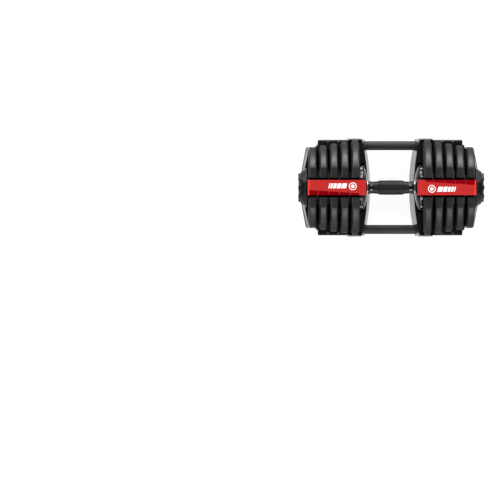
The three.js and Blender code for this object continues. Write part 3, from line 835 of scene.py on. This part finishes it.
def coupling_ring():
    outer = fillet([(50.5, BORE), (50.5, 15.2), (51.3, 16.0), (56.2, 16.0), (56.2, BORE)], 0.35)
    bm = lathe(outer, 72)
    for k in range(6):
        a = math.pi / 2 + k * math.pi / 3
        points = []
        for n in range(9):
            b = a + TOOTH_HALF_ANGLE * (n / 4 - 1)
            points.append((15.0 * math.cos(b), AXIS + 15.0 * math.sin(b)))
        for n in range(9):
            b = a - TOOTH_HALF_ANGLE * (n / 4 - 1)
            points.append((BORE * math.cos(b), AXIS + BORE * math.sin(b)))
        add(bm, soften(prism(points, "X", 44.75, 51.0), 0.3))
    # the ring's fine outer teeth
    for k in range(24):
        tooth = box((52.2, 55.4), (-0.75, 0.75), (15.4, 16.0), 0.25)
        turn = Matrix.Rotation(2 * math.pi * k / 24, 4, "X")
        add(bm, tooth, Matrix.Translation((0, 0, AXIS)) @ turn)
    return bm


# ------------------------------------------------------------------ grip

GRIP_HALF = 44.3
GRIP_RADIUS = 16.5  # round which the pads' widths are measured


def smoothstep(low, high, value):
    t = max(0.0, min(1.0, (value - low) / (high - low)))
    return t * t * (3 - 2 * t)


def grip_radius(x, angle):
    """Radius of the rubber at x, at angle from the top."""
    ax = abs(x)
    base = 13.9 + 1.0 * (1 - smoothstep(33.0, 44.3, ax)) + 1.2 * (1 - smoothstep(28.5, 32.0, ax))
    base += 0.3 * (1 - smoothstep(0.0, 29.0, ax))
    turn = abs(math.atan2(math.sin(angle), math.cos(angle)))
    side = min(turn, math.pi - turn)  # from the nearer of the top and the bottom
    arc = side * GRIP_RADIUS
    length = 25.6 + 3.0 * smoothstep(5.4, 9.5, arc)
    inside = smoothstep(5.5, 6.3, arc) * (1 - smoothstep(length - 0.6, length + 0.3, ax))
    pad = 1.0 * inside
    field = smoothstep(7.4, 8.0, arc) * (1 - smoothstep(length - 2.8, length - 2.2, ax))
    lean = x + 0.9 * turn * GRIP_RADIUS * (1 if math.sin(angle) > 0 else -1)
    wave = abs((lean / 5.9) % 1.0 - 0.5) * 2
    pad -= 0.95 * field * smoothstep(0.45, 0.75, wave)
    lip = 0.3 * math.exp(-((ax - 43.3) / 0.7) ** 2)
    return base + pad + lip - 0.25 * smoothstep(43.6, 44.3, ax)


def grip():
    bm = bmesh.new()
    along, around = 330, 220
    rings = []
    for n in range(along + 1):
        x = -GRIP_HALF + 2 * GRIP_HALF * n / along
        ring = []
        for k in range(around):
            a = 2 * math.pi * k / around
            r = grip_radius(x, a)
            ring.append(bm.verts.new((x, r * math.sin(a), AXIS + r * math.cos(a))))
        rings.append(ring)
    for x in (GRIP_HALF, -GRIP_HALF):
        rings.append([
            bm.verts.new((
                x,
                BORE * math.sin(2 * math.pi * k / around),
                AXIS + BORE * math.cos(2 * math.pi * k / around),
            ))
            for k in range(around)
        ])
    for i, ring in enumerate(rings):
        after = rings[(i + 1) % len(rings)]
        for k in range(around):
            j = (k + 1) % around
            bm.faces.new((ring[k], ring[j], after[j], after[k]))
    return bm


# ------------------------------------------------------------------ dial

LOBES = 8


def dial():
    skirt = fillet(
        [
            (201.2, 19.0), (201.2, 22.0), (211.0, 22.0), (211.0, 33.5), (201.2, 43.5),
            (201.2, 46.4, 0.6), (202.0, 47.0, 1.2), (203.6, 46.6, 1.0), (214.6, 39.2, 3.0),
            (216.6, 36.6, 0.8), (216.6, 16.4), (205.9, 16.4), (205.9, 19.0),
        ],
        0.5,
    )
    bm = lathe(skirt, 128)
    # a boss that points to the setting, with a pocket on each side of it
    boss = box((203.6, 216.4), (-13.4, 13.4), (AXIS + 34.5, AXIS + 43.6), 0.9, 3)
    pockets = []
    for side in (-1, 1):
        pocket = box((210.0, 217.5), (-2.1, 2.1), (36.2, 48.0), 0.4)
        turn = Matrix.Rotation(-side * math.radians(22.5), 4, "X")
        pocket.transform(Matrix.Translation((0, 0, AXIS)) @ turn)
        pockets.append(pocket)
    for k in range(1, LOBES):
        if k in (1, 7):
            continue
        pocket = box((211.5, 217.5), (-1.2, 1.2), (38.4, 48.0), 0.3)
        turn = Matrix.Rotation(math.radians(22.5) + 2 * math.pi * k / LOBES, 4, "X")
        pocket.transform(Matrix.Translation((0, 0, AXIS)) @ turn)
        pockets.append(pocket)
    bm = carve(bm, pockets)
    add(bm, boss)
    for k in range(3):
        line = box((206.2 + 3.2 * k, 207.4 + 3.2 * k), (-9, 9), (AXIS + 43.2, AXIS + 43.9), 0.25)
        add(bm, line)
    # the lobed knob
    count = LOBES * 20
    radii = (0.0, 0.06, 0.14, 0.3, 0.5, 0.7, 0.86, 0.95, 1.0)
    rings = []
    for t in radii:
        ring = []
        for k in range(count):
            a = math.pi / 2 + 2 * math.pi * k / count
            wave = math.cos(LOBES * (a - math.pi / 2))
            crest = smoothstep(-0.55, 0.7, wave)
            out = 31.6 + 2.7 * crest
            r = 14.2 + (out - 14.2) * t
            face = 219.6 + 2.3 * crest * smoothstep(0.05, 0.75, t) * (1 - 0.35 * smoothstep(0.9, 1.0, t))
            if t == 0.0:
                face = 214.6
            if t == radii[1]:
                face = 219.3
            if t == 1.0:
                face -= 0.7
            ring.append(bm.verts.new((face, r * math.cos(a), AXIS + r * math.sin(a))))
        rings.append(ring)
    base = []
    for k in range(count):
        v = rings[-1][k].co
        base.append(bm.verts.new((216.0, v.y, v.z)))
    rings.append(base)
    floor = [
        bm.verts.new((214.6, 0.5 * (v.co.y), AXIS + 0.5 * (v.co.z - AXIS))) for v in rings[0]
    ]
    rings.insert(0, floor)
    for ring, after in zip(rings, rings[1:]):
        for k in range(count):
            j = (k + 1) % count
            bm.faces.new((ring[k], ring[j], after[j], after[k]))
    bm.faces.new(floor)
    bm.faces.new(list(reversed(base)))
    return bm


def dial_cap():
    profile = fillet(
        [
            (215.0, 0.0), (215.0, 13.4), (220.2, 13.4), (221.3, 12.2), (221.3, 9.6), (220.9, 9.2),
            (220.9, 3.2), (221.2, 2.4), (221.2, 0.0),
        ],
        0.3,
    )
    profile = [(x, 0.0 if r < 0.4 else r) for x, r in profile]
    return lathe(profile, 64)


# ------------------------------------------------------------------ cradle

RAIL_Y, RAIL_Z = 101.0, 30.0


def rail(y):
    profile = fillet([(-150, 8.8), (-150, 11.0), (150, 11.0), (150, 8.8)], 0.5, steps=4)
    return lathe(profile, 56, z=RAIL_Z, y=y)


BULKHEAD_TOP = 98.0


def cad_copy(name):
    """A CAD node's mesh in millimetres, at its place on the right side."""
    bm = bmesh.new()
    bm.from_mesh(frame["nodes"][name].data)
    bm.transform(Matrix.Scale(1000.0, 4))
    bmesh.ops.remove_doubles(bm, verts=bm.verts, dist=0.01)
    return bm


def tray(side):
    bm = cad_copy(f"tray_{side}")
    bm.transform(turn_for(side))
    bmesh.ops.dissolve_limit(bm, angle_limit=math.radians(0.6), verts=bm.verts, edges=bm.edges)
    # a generous round along the bowed wall's top edge on the grip's side
    crest = [
        e for e in bm.edges
        if all(abs(v.co.z - BULKHEAD_TOP) < 0.5 and v.co.x < 72 for v in e.verts)
        and any(f.normal.x < -0.5 for f in e.link_faces)
    ]
    bmesh.ops.bevel(
        bm, geom=crest, offset=4.0, segments=4, profile=0.5, affect="EDGES", clamp_overlap=True
    )
    return soften(bm, 0.7, angle=38)


SPRING_X, SPRING_RADIUS, SPRING_WIRE = 62.2, 2.6, 0.45
SPRING_Z = (AXIS - 29.4, AXIS - 15.8)


def lock_spring():
    """A coiled wire between the hub's pocket and the lock tab, with its end turns closed up."""
    bm = bmesh.new()
    turns, steps = 7, 24
    low, high = SPRING_Z[0] + SPRING_WIRE, SPRING_Z[1] - SPRING_WIRE
    rings = []
    for i in range(turns * steps + 1):
        t = i / (turns * steps)
        angle = 2 * math.pi * turns * t
        rise = min(max((t - 0.1) / 0.8, 0.0), 1.0) * 0.86 + 0.14 * t
        z = low + (high - low) * rise
        out = Vector((math.cos(angle), math.sin(angle), 0.0))
        centre = Vector((SPRING_X, 0.0, z)) + out * (SPRING_RADIUS - 0.02)
        ring = []
        for k in range(8):
            b = 2 * math.pi * k / 8
            offset = out * math.cos(b) + Vector((0, 0, math.sin(b)))
            ring.append(bm.verts.new(centre + offset * SPRING_WIRE))
        rings.append(ring)
    for a, b in zip(rings, rings[1:]):
        for k in range(8):
            n = (k + 1) % 8
            bm.faces.new((a[k], a[n], b[n], b[k]))
    bm.faces.new(rings[0])
    bm.faces.new(list(reversed(rings[-1])))
    return bm


# ------------------------------------------------------------------ building

def build_side(side):
    handle, selector = "handle", f"selector_{side}"

    for i in range(PLATES):
        n = i + 1
        piece = make(f"plate_{n}_{side}", weight_plate(i), PLATE_PAINT)
        place(piece, side, f"plate_{n}_{side}", "plate_paint", f"weight_plate_{n}_{side}")

    cover = make(
        f"cover_{side}", top_cover(), RED_PLASTIC, weighted=True, materials=(PAINTED_SHADE_RED, PAINTED_HIGHLIGHT_RED)
    )
    place(cover, side, handle, "red_plastic", f"top_cover_{side}")
    mark = make(f"cover_mark_{side}", cover_mark(), WHITE_PRINT)
    place(mark, side, handle, "red_plastic")

    place(
        make(f"hub_{side}", hub_dome(), HUB_PLASTIC),
        side, handle, "black_plastic", f"hub_dome_{side}",
    )
    place(make(f"hub_bezel_{side}", hub_bezel(), ZINC), side, handle, "plated_steel")
    place(
        make(f"coupling_{side}", coupling_ring(), BLACK_PLASTIC),
        side, handle, "black_plastic", f"coupling_ring_{side}",
    )
    place(
        make(f"ring_{side}", number_ring(), BLACK_PLASTIC),
        side, selector, "black_plastic", f"number_ring_{side}",
    )
    place(make(f"ring_numbers_{side}", ring_numbers(), GREY_PRINT), side, selector, "black_plastic")
    place(
        make(f"dial_knob_{side}", dial(), DIAL_PLASTIC),
        side, selector, "black_plastic", f"dial_{side}",
    )
    place(
        make(f"knob_cap_{side}", dial_cap(), DIAL_PLASTIC),
        side, selector, "black_plastic", f"dial_cap_{side}",
    )

    spring = make(f"spring_{side}", lock_spring(), STEEL)
    spring.data.transform(turn_for(side))
    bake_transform(spring)
    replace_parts(spring, f"lock_spring_{side}")

    shell = make(f"tray_shell_{side}", tray(side), TRAY_PLASTIC, weighted=True)
    place(shell, side, "cradle", "tray_plastic", f"tray_{side}")


for side in SIDES:
    build_side(side)
sleeve = make("grip_sleeve", grip(), GRIP_RUBBER, angle=60)
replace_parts(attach(sleeve, "handle"), "grip")
for name, y in (("rail_front", -RAIL_Y), ("rail_rear", RAIL_Y)):
    tube = make(f"{name}_tube", rail(y), RAIL_PAINT)
    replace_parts(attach(tube, "cradle"), name)

# the CAD nodes that stay, with better finishes and softened edges
KEPT = {
    "handle_tube": STEEL, "cover_spine": BLACK_STEEL, "end_plate": BLACK_STEEL,
    "axle_bolt": ZINC, "lock_tab": ZINC, "selector_sleeve": BLACK_STEEL, "selector_disc": BLACK_STEEL,
    "release_post": ZINC, "tray_cover": TRAY_PLASTIC, "foot": FOOT_RUBBER,
}
for name, obj in frame["nodes"].items():
    found = next((m for k, m in KEPT.items() if name.startswith(k)), None)
    if found is None or obj.hide_render:
        continue
    for slot in obj.material_slots:
        slot.material = found
    obj.data.shade_smooth()
    edges = obj.modifiers.new("edges", "BEVEL")
    edges.width = 0.45 * MM
    edges.segments = 2
    edges.limit_method = "ANGLE"
    edges.angle_limit = math.radians(34)
    edges.harden_normals = True


# ------------------------------------------------------------------ floor, light and camera

SKY = 0.30  # the light overhead
REAR_GLOW = (19.0, 9.0, 14.0)  # strength, and the height and spread in degrees
FRONT_GLOW = (9.5, 23.0, 11.0)
SIDE_GLOW = (0.4, 6.0, 14.0)
FLOOR_GLOW = 0.9


def floor():
    bm = prism([(-6000, -6000), (6000, -6000), (6000, 6000), (-6000, 6000)], "Z", -20, -0.2)
    mat = bpy.data.materials.new("pale_floor")
    mat.use_nodes = True
    tree = mat.node_tree
    bsdf = tree.nodes["Principled BSDF"]
    noise = tree.nodes.new("ShaderNodeTexNoise")
    noise.inputs["Scale"].default_value = 30.0
    coords = tree.nodes.new("ShaderNodeTexCoord")
    tree.links.new(coords.outputs["Object"], noise.inputs["Vector"])
    spread = tree.nodes.new("ShaderNodeMapRange")
    spread.inputs["To Min"].default_value = 0.55
    spread.inputs["To Max"].default_value = 0.65
    tree.links.new(noise.outputs["Fac"], spread.inputs["Value"])
    tree.links.new(spread.outputs["Result"], bsdf.inputs["Roughness"])
    bsdf.inputs["Base Color"].default_value = (0.16, 0.16, 0.16, 1.0)
    bsdf.inputs["Specular IOR Level"].default_value = 0.2
    bsdf.inputs["Emission Color"].default_value = (1.0, 1.0, 1.0, 1.0)
    bsdf.inputs["Emission Strength"].default_value = FLOOR_GLOW
    obj = make("floor", bm, mat)


def world():
    """Soft studio surroundings: dark overhead, with a soft glow low round the sides."""
    made = bpy.data.worlds.new("studio")
    bpy.context.scene.world = made
    made.use_nodes = True
    tree = made.node_tree
    link = tree.links.new
    background = tree.nodes["Background"]
    coords = tree.nodes.new("ShaderNodeTexCoord")
    axes = tree.nodes.new("ShaderNodeSeparateXYZ")
    link(coords.outputs["Generated"], axes.inputs[0])

    def calc(operation, *values):
        made = tree.nodes.new("ShaderNodeMath")
        made.operation = operation
        for socket, value in zip(made.inputs, values):
            if isinstance(value, (int, float)):
                socket.default_value = value
            else:
                link(value, socket)
        return made.outputs["Value"]

    height = calc("ARCSINE", axes.outputs["Z"])

    def glow(strength, middle, spread, toward=None):
        """A band of light round the sky at a height in degrees, on one side of it or all round."""
        away = calc("DIVIDE", calc("SUBTRACT", height, math.radians(middle)), math.radians(spread))
        band = calc("EXPONENT", calc("MULTIPLY", calc("MULTIPLY", away, away), -1.0))
        if toward:
            side = calc("MAXIMUM", calc("MULTIPLY", axes.outputs["Y"], toward), 0.0)
            band = calc("MULTIPLY", band, calc("POWER", side, 1.5))
        return calc("MULTIPLY", band, strength)

    total = calc("ADD", SKY, glow(*REAR_GLOW, 1.0))
    total = calc("ADD", total, glow(*FRONT_GLOW, -1.0))
    total = calc("ADD", total, glow(*SIDE_GLOW))
    link(total, background.inputs["Strength"])
    background.inputs["Color"].default_value = (1.0, 1.0, 1.0, 1.0)


# The camera looks straight down from far away, and the object stands to its upper right.
CAMERA_AT = (-0.3371, 0.0, 0.122 + 11.6)
CAMERA_SHIFT = -0.1249
LENS = 349.4


def camera():
    data = bpy.data.cameras.new("camera")
    data.sensor_width = 36.0
    data.lens = LENS
    data.shift_y = CAMERA_SHIFT
    data.clip_end = 100.0
    obj = bpy.data.objects.new("camera", data)
    obj.location = CAMERA_AT
    bpy.context.scene.collection.objects.link(obj)
    bpy.context.scene.camera = obj


floor()
world()
camera()
bpy.context.scene.view_settings.view_transform = "Standard"
